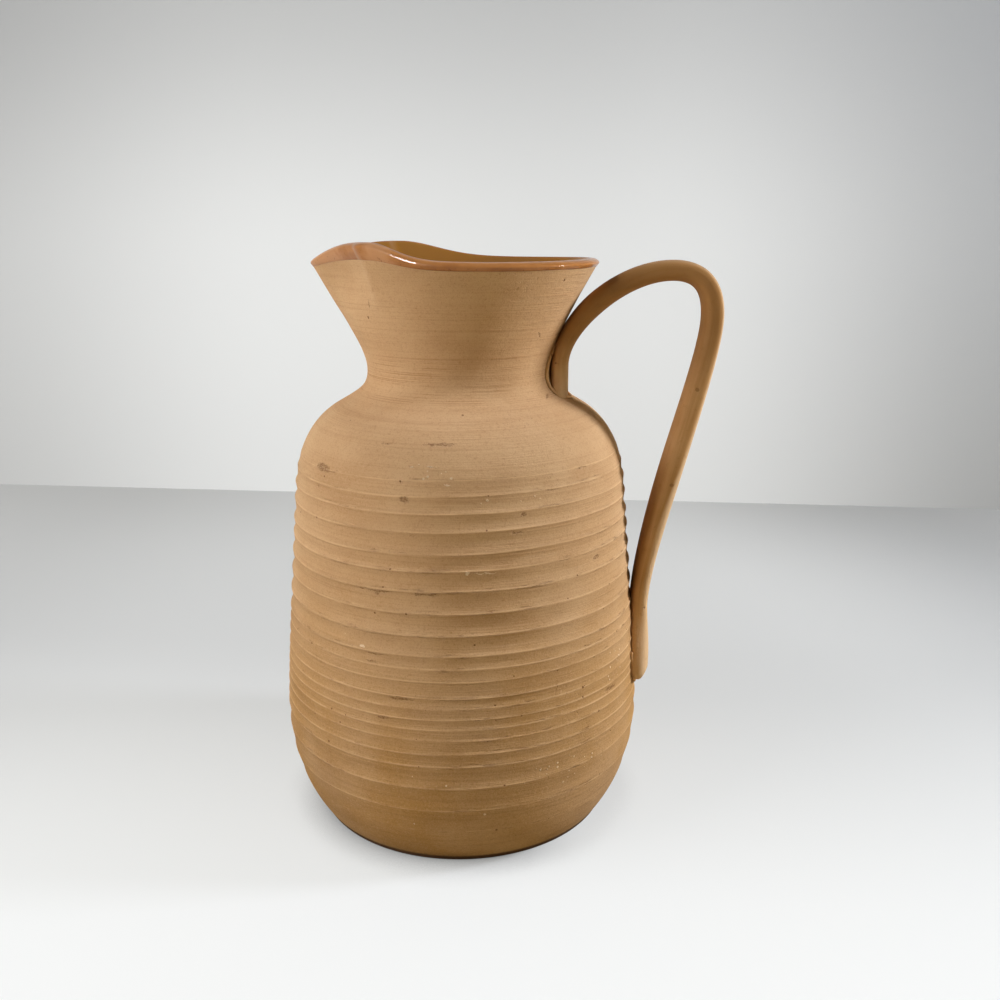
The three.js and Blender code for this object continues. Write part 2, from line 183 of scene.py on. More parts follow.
STATIONS = [
    {"r": FOOT_RADIUS, "z": FOOT_ROUND, "slope": HEEL_SLOPE, "up": 0.17},
    {"r": BELLY_RADIUS, "z": BELLY_Z, "slope": 0, "down": 0.5, "up": 0.175},
    {"r": SHOULDER_RADIUS, "z": SHOULDER_Z, "slope": SIDE_SLOPE, "down": 0.27, "up": 0.51},
    {"r": COLLAR_RADIUS, "z": COLLAR_Z, "slope": COLLAR_SLOPE, "down": 0.17, "up": 0.4},
    {"r": THROAT_RADIUS, "z": THROAT_Z, "slope": 0, "down": 0.5, "up": 0.22},
    {"r": RIM_RADIUS, "z": RIDGE_Z, "slope": NECK_SLOPE, "down": 0.37},
]
OUTLINE = np.vstack([stretch(a, b) for a, b in zip(STATIONS, STATIONS[1:])])


def smooth_radius(z):
    z = np.asarray(z, float)
    inside = np.interp(z, OUTLINE[:, 1], OUTLINE[:, 0])
    return np.where(z > RIDGE_Z, RIM_RADIUS + NECK_SLOPE * (z - RIDGE_Z), inside)


def wall_at(z):
    return mix(BODY_WALL, NECK_WALL, smooth((z - SHOULDER_Z) / (THROAT_Z - SHOULDER_Z)))


BEAK_TIP = RIM_RADIUS + SPOUT_REACH
BEAK_HALF = math.atan2(RIM_RADIUS * math.sin(FLANK_ANGLE), BEAK_TIP - RIM_RADIUS * math.cos(FLANK_ANGLE))


def soft_angle(angle):
    return np.hypot(angle, TIP_ROUND) - TIP_ROUND * np.exp(-np.abs(angle) / FLANK_ANGLE)


def beak(angle, z):
    """The pulled spout in plan: a beak with flat flanks at the lip, which rounds off down the neck."""
    off = soft_angle(angle)
    near = np.minimum(off, FLANK_ANGLE)
    radius = BEAK_TIP * math.sin(BEAK_HALF) / np.sin(BEAK_HALF + near)
    blend = smooth((FLANK_ANGLE - near) / (CREASE_BLEND * FLANK_ANGLE))
    flat = np.where(off >= FLANK_ANGLE, 0, (radius - RIM_RADIUS) * blend)
    rounded = SPOUT_REACH * np.cos(np.clip(angle / (1.25 * FLANK_ANGLE), -1, 1) * math.pi / 2) ** 2
    return mix(rounded, flat, smooth((z - THROAT_Z - CREASE_START * NECK_RISE) / (CREASE_SPAN * NECK_RISE)))


def crest_lift(angle):
    off = soft_angle(angle)
    past = (off - FLANK_ANGLE) / np.where(angle > 0, FRONT_FADE, BACK_FADE)
    left = np.clip(1 - off / FLANK_ANGLE, 0, 1)
    near = FLANK_LIFT - (FLANK_LIFT + TIP_DROP) * left ** FLANK_BULGE
    sag = CREST_SAG * np.exp(-((off - SAG_ANGLE) / SAG_FADE) ** 2 / 2)
    return np.where(off > FLANK_ANGLE, FLANK_LIFT * np.exp(-past * past / 2), near) - sag


def from_spout(angle):
    return np.arctan2(np.sin(angle - SPOUT_ANGLE), np.cos(angle - SPOUT_ANGLE))


def placed(r, z, angle):
    """Points on the jug for radii, heights and angles of the round outline, with the spout pulled out."""
    off = from_spout(angle)
    share = smooth((z - THROAT_Z - SPOUT_START * NECK_RISE) / (SPOUT_SPAN * NECK_RISE))
    radius = r + share * beak(off, z)
    lift = smooth((z - THROAT_Z) / NECK_RISE) * crest_lift(off)
    return np.stack([radius * np.cos(angle), radius * np.sin(angle), z + lift], axis=-1)


def waves(angle, seed, counts, size):
    """A smooth wander round the jug that closes on itself."""
    draw = np.random.default_rng(seed)
    total = np.zeros_like(angle)
    for n in counts:
        total = total + draw.normal() * np.cos(n * angle + draw.uniform(0, TAU)) / math.sqrt(n)
    return size * total / math.sqrt(len(counts))


# Meshes

def new_mesh(name, points, faces, attributes):
    mesh = bpy.data.meshes.new(name)
    mesh.from_pydata((np.asarray(points) * MM).tolist(), [], faces)
    for key, values in attributes.items():
        layer = mesh.attributes.new(key, "FLOAT", "POINT")
        layer.data.foreach_set("value", np.asarray(values, np.float32).ravel())
    mesh.validate()
    mesh.shade_smooth()
    piece = bpy.data.objects.new(name, mesh)
    bpy.context.scene.collection.objects.link(piece)
    return piece


def skin(name, rows, attributes=None, start=None, end=None, loop=False):
    """A closed surface over rows of points: its ends close on a point, or it loops to its first row."""
    rows = np.asarray(rows, float)
    n, m = rows.shape[:2]
    points = rows.reshape(-1, 3)
    index = np.arange(n * m).reshape(n, m)
    below = index if loop else index[:-1]
    above = np.roll(index, -1, axis=0) if loop else index[1:]
    a, b = below, np.roll(below, -1, axis=1)
    c, d = np.roll(above, -1, axis=1), above
    faces = np.stack([a, b, c, d], axis=-1).reshape(-1, 4).tolist()
    values = {k: np.asarray(v, float).reshape(-1) for k, v in (attributes or {}).items()}
    for tip, ring, turn in ((start, index[0], 1), (end, index[-1], -1)):
        if tip is None:
            continue
        tip_index = len(points)
        points = np.vstack([points, tip])
        for k in values:
            values[k] = np.append(values[k], values[k][ring[0]])
        after = np.roll(ring, -1)
        faces += [[tip_index, q, p][::turn] for p, q in zip(ring.tolist(), after.tolist())]
    return new_mesh(name, points, faces, values)


def finish_piece(piece, material, slot, *nodes):
    piece.data.materials.append(material)
    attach(piece, "root")
    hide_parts(*nodes)


# Directions of the columns, closer together behind the handle's joints
CLOSE_HALF = math.radians(24)
ANGLES = np.concatenate([
    np.linspace(-CLOSE_HALF, CLOSE_HALF, 180, endpoint=False),
    np.linspace(CLOSE_HALF, TAU - CLOSE_HALF, 410, endpoint=False),
])
COLUMNS = len(ANGLES)


def turned(curve):
    """Rows of points for an outline turned round the jug's axis."""
    return [placed(np.full(COLUMNS, r), np.full(COLUMNS, z), ANGLES) for r, z in curve]


# Thrown body

def ring_rows():
    """Rows from the lowest crest up: height, share of the way down from a crest, ring number."""
    heights, shares, numbers = [], [], []
    for k in range(len(RINGS) - 1, 0, -1):
        top, bottom = RINGS[k - 1][0], RINGS[k][0]
        steps = RING_STEPS if top - bottom > NARROW_RING else RING_STEPS[::2] + RING_STEPS[-1:]
        for u in sorted(steps, reverse=True):
            if u > 0.0 or k == 1:
                heights.append(top - u * (top - bottom))
                shares.append(u)
                numbers.append(k - 1)
        if k > 1:
            heights.append(top)
            shares.append(0.0)
            numbers.append(k - 1)
    order = np.argsort(heights)
    return np.array(heights)[order], np.array(shares)[order], np.array(numbers)[order]


def ring_fade(z):
    """The rings fade out at the foot and on the shoulder."""
    return smooth((z - 8) / 24) * (1 - smooth((z - 166) / 22))


def torn_edge(k):
    """How much is left of the burr on a crest, all round the jug."""
    return 0.75 + 0.5 * waves(ANGLES, 120 + k, [3, 7, 13, 21, 34, 55], 1.0)


def ring_shape(u, k):
    """One row of a ring: depth, burr, how near it is to a crest, and how much painted shadow it takes just
    under one.
    """
    uneven = np.clip(1 + RING_UNEVEN * waves(ANGLES, 40 + k, [1, 2, 3, 4, 7], 1.0), 0.3, 1.7)
    deepest = np.clip(0.6 + 0.06 * waves(ANGLES, 80 + k, [1, 2, 5], 1.0), 0.45, 0.75)
    above = smooth(u / deepest) ** 0.9
    below = 1 - np.clip((u - deepest) / (1 - deepest), 0, 1) ** 1.8
    depth = RING_DEPTH * RING_GAPS[k] * RING_STRENGTHS[k] * uneven * np.where(u < deepest, above, below)
    down, up = u * RING_GAPS[k], (1 - u) * RING_GAPS[k]
    strength, next_strength = RING_STRENGTHS[k], RING_STRENGTHS[min(k + 1, len(RINGS) - 1)]
    tear, next_tear = torn_edge(k), torn_edge(k + 1)
    burr = RING_BURR * strength * np.clip(tear, 0, 1.6) * np.exp(-(down / BURR_REACH) ** 2)
    burr = burr + RING_BURR * next_strength * np.clip(next_tear, 0, 1.6) * np.exp(-(up / BURR_REACH) ** 2)
    under = np.clip(tear, 0.2, 1.3) * strength * math.exp(-((down - 0.75) / 0.4) ** 2)
    crest = np.full(COLUMNS, max(math.exp(-down ** 2), math.exp(-up ** 2)))
    return depth, burr, crest, under


def foot_points():
    """The flat underside and the round edge of the foot, from near the middle outward."""
    points = [(r, 0.0) for r in (22, 44, 58, FOOT_RADIUS - FOOT_ROUND)]
    for turn in (math.pi / 8, math.pi / 4, math.pi * 3 / 8):
        out, up = 1 - math.sin(turn), 1 - math.cos(turn)
        points.append((FOOT_RADIUS - FOOT_ROUND * out, FOOT_ROUND * up))
    return points


def body_outside():
    """Rows from the foot to the throat, each with its crest values and its painted shadow under the crests."""
    foot = foot_points()
    flat = np.zeros(COLUMNS)
    rows, near, painted_shadow_rows = turned(foot), [flat] * len(foot), [flat] * len(foot)
    heel = np.linspace(FOOT_ROUND, RINGS[-1][0] - 0.8, 10)
    ring_z, ring_u, ring_k = ring_rows()
    top = np.concatenate([
        np.linspace(RINGS[0][0] + 1.0, COLLAR_Z, 16), np.linspace(COLLAR_Z + 0.4, THROAT_Z, 42),
    ])
    zs = np.concatenate([heel, ring_z, top])
    us = np.concatenate([np.ones_like(heel), ring_u, np.zeros_like(top)])
    ks = np.concatenate([np.full(heel.shape, -1), ring_k, np.full(top.shape, -1)])
    wander = RING_TILT * np.cos(ANGLES - TILT_TOWARD) + waves(ANGLES, 3, [2, 3, 5], 0.12)
    crest_waves = [waves(ANGLES, 200 + k, [1, 2, 3, 5, 8], 0.32) for k in range(len(RINGS) + 1)]
    for z, u, k in zip(zs, us, ks.tolist()):
        if k >= 0:
            depth, burr, crest, under = ring_shape(u, k)
            own_wave = mix(crest_waves[k], crest_waves[k + 1], u)
        else:
            depth, burr, crest, under = flat, flat, flat, flat
            own_wave = crest_waves[0 if z > SHOULDER_Z else -2]
        height = z + (wander + own_wave) * ring_fade(z)
        r = smooth_radius(height) - depth + burr - RING_BURR * ring_fade(z)
        rows.append(placed(r, height, ANGLES))
        near.append(crest)
        painted_shadow_rows.append(under)
    return rows, near, painted_shadow_rows


def dip_line(angle):
    """Height of the lip glaze's lower edge before the spout's lift: wavy, with a drip under the flank."""
    wave = waves(angle, 11, [2, 3, 5, 8, 13], 0.35)
    off = from_spout(angle)
    return DIP_Z - (1 - DIP_FOLLOW) * crest_lift(off) + wave


def neck_rows():
    """Rows of the neck's outside from the throat to a little above the dip line."""
    line = dip_line(ANGLES)
    rows = []
    for t in np.linspace(0, 1, 58)[1:] ** 1.35:
        z = THROAT_Z + t * (line - THROAT_Z)
        fine = waves(np.full(1, t * 9), 5, [1, 2, 3], 0.1)
        rows.append(placed(smooth_radius(z) + fine * smooth((t - 0.05) / 0.2) * 0.5, z, ANGLES))
    for above, inset in ((0.5, 0.12), (0.8, 0.45), (0.9, 0.9)):
        z = line + above
        rows.append(placed(smooth_radius(z) - inset, z, ANGLES))
    return rows


def offset_outline(points, distance):
    """An open outline moved sideways, to its left as it is walked, which is into the clay."""
    p = np.asarray(points, float)
    step = np.diff(p, axis=0)
    step /= np.linalg.norm(step, axis=1)[:, None]
    before = np.vstack([step[:1], step])
    after = np.vstack([step, step[-1:]])
    normal = np.stack([-(before[:, 1] + after[:, 1]), before[:, 0] + after[:, 0]], axis=1)
    normal /= np.linalg.norm(normal, axis=1)[:, None]
    mitre = np.maximum(0.5, normal[:, 0] * -before[:, 1] + normal[:, 1] * before[:, 0])
    moved = p + normal * (distance / mitre)[:, None]
    moved[p[:, 0] == 0, 0] = 0
    return moved


LIP_TOP = RIM_RADIUS - LIP_BEVEL
LIP_INSIDE = RIM_RADIUS - NECK_WALL
LIP_BEAD = 0.4
# Faint finger ribs inside the wall
RIB_HEIGHT = 0.35
RIB_PITCH = 9.1


def lip_curve():
    """The lip's section from the outer ridge over the crest to the inside."""
    outer = cubic(
        (RIM_RADIUS + LIP_BEAD, RIDGE_Z), (RIM_RADIUS + LIP_BEAD + 0.15, RIDGE_Z + 1.1),
        (LIP_TOP + 1.1, RIM_Z - 0.05), ((LIP_TOP + LIP_INSIDE) / 2 + 0.3, RIM_Z), np.linspace(0, 1, 9),
    )
    inner = cubic(
        ((LIP_TOP + LIP_INSIDE) / 2 + 0.3, RIM_Z), (LIP_INSIDE + 1.4, RIM_Z),
        (LIP_INSIDE + 0.6, RIDGE_Z + 1.0), (LIP_INSIDE, RIDGE_Z), np.linspace(0, 1, 8),
    )
    return np.vstack([outer, inner[1:]])


def inside_curve():
    """The liner's seen surface, from its upper edge down to the middle of the floor."""
    top = RIM_Z - DIP_INSIDE
    heel = FLOOR_THICKNESS + INNER_HEEL_RISE
    zs = np.concatenate([
        np.linspace(top, THROAT_Z, 16), np.linspace(THROAT_Z, COLLAR_Z, 10)[1:],
        np.linspace(COLLAR_Z, SHOULDER_Z, 14)[1:], np.linspace(SHOULDER_Z, heel, 60)[1:],
    ])
    r = smooth_radius(zs) - wall_at(zs)
    faded = smooth((zs - heel) / 20) * (1 - smooth((zs - SHOULDER_Z) / 40))
    ribs = RIB_HEIGHT * np.sin(TAU * zs / RIB_PITCH) * faded
    side = np.stack([r + ribs, zs], axis=1)
    corner = side[-1, 0] - INNER_HEEL_RISE
    turn = np.linspace(0, math.pi / 2, 13)[1:]
    across, down = INNER_HEEL_RISE * np.cos(turn), INNER_HEEL_RISE * np.sin(turn)
    bend = np.stack([corner + across, heel - down], axis=1)
    flat = np.stack([np.linspace(corner, 0, 7)[1:-1], np.full(5, float(FLOOR_THICKNESS))], axis=1)
    return np.vstack([side, bend, flat])


# Strap handle

def foot_thinning(z):
    """The strap's foot is cut off at a slant: how much of its thickness is left at a height."""
    return 1 - (1 - PAD_LIP) * np.clip((SLANT_Z - z) / (SLANT_Z - PAD_Z + PAD_END), 0, 1)


def foot_fullness(z):
    """How much prouder the strap is left toward its foot, in millimetres."""
    return PAD_FULLNESS * smooth((PAD_FULL_TOP - z) / PAD_FULL_SPAN)


def blended(values, t):
    """Goes smoothly from each of two or three values to the next as t goes from 0 to 1."""
    if len(values) == 2:
        return mix(values[0], values[1], smooth(t))
    if t < 0.5:
        return mix(values[0], values[1], smooth(2 * t))
    return mix(values[1], values[2], smooth(2 * t - 1))


def even_cubic(a, b, c, d, steps):
    """Points at even distances along a Bezier curve, and its direction at each."""
    fine = np.linspace(0, 1, 401)
    curve = cubic(a, b, c, d, fine)
    length = np.concatenate([[0], np.cumsum(np.linalg.norm(np.diff(curve, axis=0), axis=1))])
    at = np.interp(np.linspace(0, 1, steps + 1) * length[-1], length, fine)
    ahead = cubic(a, b, c, d, np.minimum(at + 1e-3, 1)) - cubic(a, b, c, d, np.maximum(at - 1e-3, 0))
    return cubic(a, b, c, d, at), ahead / np.linalg.norm(ahead, axis=1)[:, None]


def strap_frames():
    """Sections along the strap from its root to its foot: x, z, direction, thickness, width, squareness."""
    root_x = THROAT_RADIUS + ROOT_THICKNESS / 2
    grip_z = ARCH_Z - GRIP_DROP
    heel_z = PAD_Z + HEEL_ABOVE_PAD
    heel_x = float(smooth_radius(heel_z)) + HEEL_STAND_OFF
    pad_x = float(smooth_radius(PAD_Z))
    rise, run, fall = ARCH_Z - THROAT_Z, ARCH_RADIUS - root_x, grip_z - heel_z
    third = (THROAT_Z - COLLAR_Z) / 3
    # Each leg: four control points, thicknesses, widths and squarenesses along it, and its steps
    legs = [
        ((root_x, COLLAR_Z), (root_x, COLLAR_Z + third), (root_x, THROAT_Z - third), (root_x, THROAT_Z),
         [ROOT_THICKNESS, ROOT_THICKNESS], [ROOT_WIDTH, THROAT_WIDTH], [ROOT_SQUARE, ROOT_SQUARE], 12),
        ((root_x, THROAT_Z), (root_x, THROAT_Z + KEEP_RISE * rise), (ARCH_RADIUS - KEEP_ARCH * run, ARCH_Z),
         (ARCH_RADIUS, ARCH_Z), [ROOT_THICKNESS, RISE_THICKNESS, ARCH_THICKNESS],
         [THROAT_WIDTH, ARCH_WIDTH], [ROOT_SQUARE, ARCH_SQUARE], 44),
        ((ARCH_RADIUS, ARCH_Z), (ARCH_RADIUS + KEEP_BEND * (HANDLE_REACH - ARCH_RADIUS), ARCH_Z),
         (HANDLE_REACH, grip_z + KEEP_DROP * GRIP_DROP), (HANDLE_REACH, grip_z),
         [ARCH_THICKNESS, GRIP_THICKNESS], [ARCH_WIDTH, GRIP_WIDTH], [ARCH_SQUARE, ARCH_SQUARE], 30),
        ((HANDLE_REACH, grip_z), (HANDLE_REACH, grip_z - KEEP_GRIP * fall),
         (heel_x, heel_z + KEEP_HEEL * fall), (heel_x, heel_z),
         [GRIP_THICKNESS, PALM_THICKNESS, HEEL_THICKNESS], [GRIP_WIDTH, HEEL_WIDTH],
         [ARCH_SQUARE, HEEL_SQUARE], 70),
        ((heel_x, heel_z), (heel_x, heel_z - KEEP_PAD * HEEL_ABOVE_PAD),
         (pad_x, PAD_Z + KEEP_PAD * HEEL_ABOVE_PAD), (pad_x, PAD_Z),
         [HEEL_THICKNESS, 2 * PAD_PROUD], [HEEL_WIDTH, PAD_WIDTH], [HEEL_SQUARE, PAD_SQUARE], 26),
    ]
    frames = []
    for a, b, c, d, thickness, width, square, steps in legs:
        centres, directions = even_cubic(a, b, c, d, steps)
        on_pad = a[0] == heel_x
        for i in range(1 if frames else 0, steps + 1):
            (x, z), t = centres[i], i / steps
            left = foot_thinning(z) if on_pad else 1
            full = foot_fullness(z) if on_pad else 0
            frames.append([
                x + left * full / 2, z, *directions[i],
                left * (blended(thickness, t) + full), blended(width, t), blended(square, t),
            ])
    pad = frames[-1]
    for t in np.sin(np.linspace(0, math.pi / 2, 14))[1:-1]:
        z = PAD_Z - t * PAD_END
        left, full = foot_thinning(z), foot_fullness(z)
        frames.append([
            float(smooth_radius(z)) + left * full / 2, z, pad[2], pad[3],
            left * (2 * PAD_PROUD + full), pad[5] * math.sqrt(1 - t * t), pad[6],
        ])
    return np.array(frames)


STRAP_SIDES = 56
# How deep the strap's root is pressed into the wall
ROOT_SUNK = 1.6


def strap_rows():
    """Rows of the strap, rounder on its inner side, with each point's place on the strap."""
    frames = strap_frames()
    turn = TAU * (np.arange(STRAP_SIDES) + 0.5) / STRAP_SIDES
    c, s = np.cos(turn), np.sin(turn)
    length = np.concatenate([[0], np.cumsum(np.linalg.norm(np.diff(frames[:, :2], axis=0), axis=1))])
    rows, across, along, outward = [], [], [], []
    for (x, z, dx, dz, thickness, width, square), run in zip(frames, length):
        power = np.where(c > 0, 2 / (2 + 0.35 * (square - 2)), 2 / square)
        out = thickness / 2 * np.sign(c) * np.abs(c) ** power
        side = width / 2 * np.sign(s) * np.abs(s) ** power
        point = np.stack([x + dz * out, side, z - dx * out], axis=-1)
        radius = np.hypot(point[:, 0], point[:, 1])
        sunk = smooth_radius(point[:, 2]) - ROOT_SUNK
        push = np.where((point[:, 2] < THROAT_Z + 6) & (radius < sunk), sunk / radius, 1)
        point[:, 0] *= push
        point[:, 1] *= push
        rows.append(point)
        across.append(side)
        along.append(np.full(STRAP_SIDES, run))
        outward.append(-out)
    return rows, across, along, outward


def tube(name, path, radius, sides=12):
    """A bead along a path, with a radius for each point."""
    path = np.asarray(path, float)
    ahead = np.gradient(path, axis=0)
    ahead /= np.linalg.norm(ahead, axis=1)[:, None]
    rows = []
    turn = TAU * np.arange(sides) / sides
    for p, t, r in zip(path, ahead, radius):
        out = np.array([p[0], p[1], 0.0]) / max(np.hypot(p[0], p[1]), 1e-6)
        side = np.cross(t, out)
        side /= np.linalg.norm(side)
        lift = np.cross(side, t)
        rows.append(p + r * (np.cos(turn)[:, None] * side + np.sin(turn)[:, None] * lift))
    return skin(name, rows, start=path[0], end=path[-1])


def spline(points, count):
    """A smooth line through points, Catmull-Rom."""
    p = np.asarray(points, float)
    p = np.vstack([2 * p[0] - p[1], p, 2 * p[-1] - p[-2]])
    out = []
    for i in range(1, len(p) - 2):
        t = np.linspace(0, 1, count, endpoint=False)[:, None]
        out.append(0.5 * (
            2 * p[i] + (p[i + 1] - p[i - 1]) * t
            + (2 * p[i - 1] - 5 * p[i] + 4 * p[i + 1] - p[i + 2]) * t ** 2
            + (3 * p[i] - p[i - 1] - 3 * p[i + 1] + p[i + 2]) * t ** 3
        ))
    out.append(p[-2:-1])
    return np.vstack(out)


def mirrored(half):
    """Half a line on the -Y side and the same on the +Y side."""
    return half + [[x, -y, z] for x, y, z in half[-2::-1]]


# Where the slip round each end of the strap ends on the wall, on the -Y side: x, y, z
UPPER_SEAM = [
    (41.5, -6.3, 210.8), (39.2, -9.3, 205.3), (37.9, -11.9, 199.3), (38.2, -12.2, 196.0),
    (39.1, -12.4, 193.7), (40.8, -12.5, 191.4), (43.4, -12.2, 189.5), (45.8, -8.6, 188.4),
    (47.3, -4.5, 187.7), (47.8, 0, 187.4),
]
LOWER_SEAM = [
    (75.6, -13.5, 92), (76.4, -16.5, 84), (76.9, -17.9, 76), (77.6, -17.9, 69), (78.4, -16.3, 63.5),
    (79.3, -11.7, 59.4), (79.9, -5.5, 58.3), (80.2, 0, 58.0),
]
# The seam is a fine groove in the wall: depth, and how far it reaches to each side
SEAM_GROOVE = 0.5
SEAM_REACH = 0.3


def joint_path(seam, inward):
    """A line that follows the seam a little way in, toward the middle of the strap."""
    half = []
    for x, y, z in seam:
        radius = float(smooth_radius(z)) + 0.25
        across = y * (1 - inward / max(abs(y), 6))
        half.append([math.sqrt(radius * radius - across * across), across, z])
    return mirrored(half)


def seam_share(rows, seam):
    """How near each point of the rows is to a seam: 1 on it, falling to 0 within a millimetre."""
    line = spline(mirrored([list(p) for p in seam]), 10)
    shares = []
    for row in rows:
        gap = np.full(COLUMNS, 99.0)
        close = (row[:, 0] > 20) & (np.abs(row[:, 1]) < 24)
        if row[:, 2].min() < THROAT_Z + 16 and close.any():
            apart = np.linalg.norm(row[close][:, None, :] - line[None, :, :], axis=2)
            gap[close] = apart.min(axis=1)
        shares.append(np.exp(-(gap / SEAM_REACH) ** 2))
    return shares


# Materials

class Nodes:
    """Short names for making the nodes of a material or of the world."""

    def __init__(self, owner, output="OutputMaterial"):
        self.owner = owner
        owner.use_nodes = True
        self.tree = owner.node_tree
        self.tree.nodes.clear()
        self.out = self.add(output)

    def add(self, kind, **values):
        node = self.tree.nodes.new("ShaderNode" + kind)
        for key, value in values.items():
            setattr(node, key, value)
        return node

    def link(self, source, target):
        if isinstance(source, (int, float, tuple)):
            target.default_value = source
        else:
            self.tree.links.new(source, target)

    def fill(self, node, **values):
        """Links or sets the node's inputs. An underscore stands for the space in an input's name."""
        for key, value in values.items():
            self.link(value, node.inputs[key.replace("_", " ")])
        return node

    def coords(self):
        return self.add("TexCoord").outputs["Object"]

    def split(self, vector):
        node = self.add("SeparateXYZ")
        self.link(vector, node.inputs[0])
        return node.outputs[0], node.outputs[1], node.outputs[2]

    def attribute(self, name):
        return self.add("Attribute", attribute_name=name).outputs["Fac"]

    def math(self, operation, a, b=0.0, c=None):
        node = self.add("Math", operation=operation)
        self.link(a, node.inputs[0])
        self.link(b, node.inputs[1])
        if c is not None:
            self.link(c, node.inputs[2])
        return node.outputs[0]

    def total(self, *values):
        out = values[0]
        for value in values[1:]:
            out = self.math("ADD", out, value)
        return out

    def product(self, *values):
        out = values[0]
        for value in values[1:]:
            out = self.math("MULTIPLY", out, value)
        return out

    def greatest(self, *values):
        out = values[0]
        for value in values[1:]:
            out = self.math("MAXIMUM", out, value)
        return out

    def stretched(self, x, y, z):
        node = self.add("VectorMath", operation="MULTIPLY")
        self.link(self.coords(), node.inputs[0])
        self.link((float(x), float(y), float(z)), node.inputs[1])
        return node.outputs["Vector"]

    def noise(self, vector, scale, detail, rough):
        node = self.add("TexNoise")
        return self.fill(node, Vector=vector, Scale=scale, Detail=detail, Roughness=rough).outputs["Fac"]

    def ramp(self, value, low, high, to_low=0.0, to_high=1.0, soft=True):
        """Goes from to_low to to_high as the value goes from low to high."""
        node = self.add("MapRange", interpolation_type="SMOOTHSTEP" if soft else "LINEAR")
        self.fill(node, Value=value, From_Min=low, From_Max=high, To_Min=to_low, To_Max=to_high)
        return node.outputs["Result"]

    def colour(self, factor, a, b):
        node = self.add("Mix", data_type="RGBA")
        self.link(factor, node.inputs["Factor"])
        self.link(a, node.inputs[6])
        self.link(b, node.inputs[7])
        return node.outputs[2]

    def bump(self, height, distance, normal=None):
        node = self.fill(self.add("Bump"), Distance=distance, Height=height)
        if normal is not None:
            self.link(normal, node.inputs["Normal"])
        return node.outputs["Normal"]


def rgb(r, g, b):
    """A colour given as sRGB numbers up to 255, as linear values."""
    def linear(v):
        v /= 255
        return v / 12.92 if v <= 0.04045 else ((v + 0.055) / 1.055) ** 2.4
    return (linear(r), linear(g), linear(b), 1.0)


def dots(n, place, spacing, keep, smallest, largest, warp):
    """Scattered ragged dots: metres between places where one can be, the share kept, and their radii."""
    cells = n.fill(n.add("TexVoronoi"), Vector=place, Scale=1 / spacing)
    drawn = n.add("SeparateColor")
    n.link(cells.outputs["Color"], drawn.inputs[0])
    size = n.ramp(drawn.outputs[1], 0.0, 1.0, smallest, largest, soft=False)
    near = n.math("DIVIDE", n.product(cells.outputs["Distance"], spacing), size)
    near = n.total(near, n.product(n.math("SUBTRACT", warp, 0.5), 1.3))
    return n.product(n.ramp(near, 1.0, 0.7), n.ramp(drawn.outputs[0], 1 - keep - 0.01, 1 - keep + 0.01))


# Marks on the front of the wall, in millimetres: across, up, half length, half height
SCARS = [
    (0.2, 177.7, 7.4, 0.55), (-20.9, 177.0, 2.4, 0.3), (-48.6, 164.8, 4.2, 1.7), (-11.9, 158.0, 2.2, 1.5),
    (-21, 70.0, 3.6, 0.8), (-14.1, 79.0, 6.0, 1.0), (-24.5, 95.8, 4.4, 0.5), (-26.2, 92.6, 3.3, 0.45),
    (-4.2, 121.7, 6.2, 0.45), (-25.8, 121.4, 8.6, 0.35), (-23.3, 120.2, 1.0, 0.9), (61.0, 128.3, 1.4, 1.0),
    (32.8, 151.7, 1.2, 0.9), (30.7, 144.9, 2.4, 0.6), (68.3, 69.7, 2.6, 0.8), (-31.1, 228.3, 0.28, 2.6),
    (35.9, 216.0, 0.4, 1.1), (-50.9, 157.5, 0.7, 0.7), (39.1, 190.4, 0.6, 0.6),
]
CRUMBS = [
    (18.6, 130.0, 5.0, 0.22), (-9.6, 169.6, 0.8, 0.4), (-2.3, 170.2, 1.2, 0.4), (4.1, 164.0, 1.3, 0.35),
    (-30.1, 97.6, 1.2, 0.7), (12.4, 130.3, 1.0, 0.8),
]
# Where pale grains lie close together
SANDY = [(50, 43, 18, 7), (1, 168, 14, 5), (24, 157.8, 22, 1.7), (6, 43, 5, 6), (69, 80, 5, 9)]


def marks(n, x, y, z, places):
    """Where the listed marks are, on the side toward -Y."""
    masks = []
    for across, up, length, height in places:
        dx = n.math("MULTIPLY_ADD", x, 1000 / length, -across / length)
        dz = n.math("MULTIPLY_ADD", z, 1000 / height, -up / height)
        masks.append(n.ramp(n.math("MULTIPLY_ADD", dx, dx, n.product(dz, dz)), 1.2, 0.3))
    return n.product(n.total(*masks), n.math("LESS_THAN", y, 0.0))


def shaded(n, colour, normal, **values):
    shader = n.fill(n.add("BsdfPrincipled"), Base_Color=colour, Normal=normal, **values)
    n.link(shader.outputs[0], n.out.inputs["Surface"])
    return n.owner


def matt(n, colour, normal):
    """Unglazed clay."""
    return shaded(
        n, colour, normal, Roughness=0.75, Specular_IOR_Level=0.02, Sheen_Weight=0.04, Sheen_Roughness=0.6,
    )


def glossy(n, colour, normal, coat):
    """Glaze: the colour under a clear coat."""
    return shaded(
        n, colour, normal, Roughness=0.3, Specular_IOR_Level=0.05,
        Coat_Weight=coat, Coat_Roughness=0.035, Coat_Normal=normal,
    )


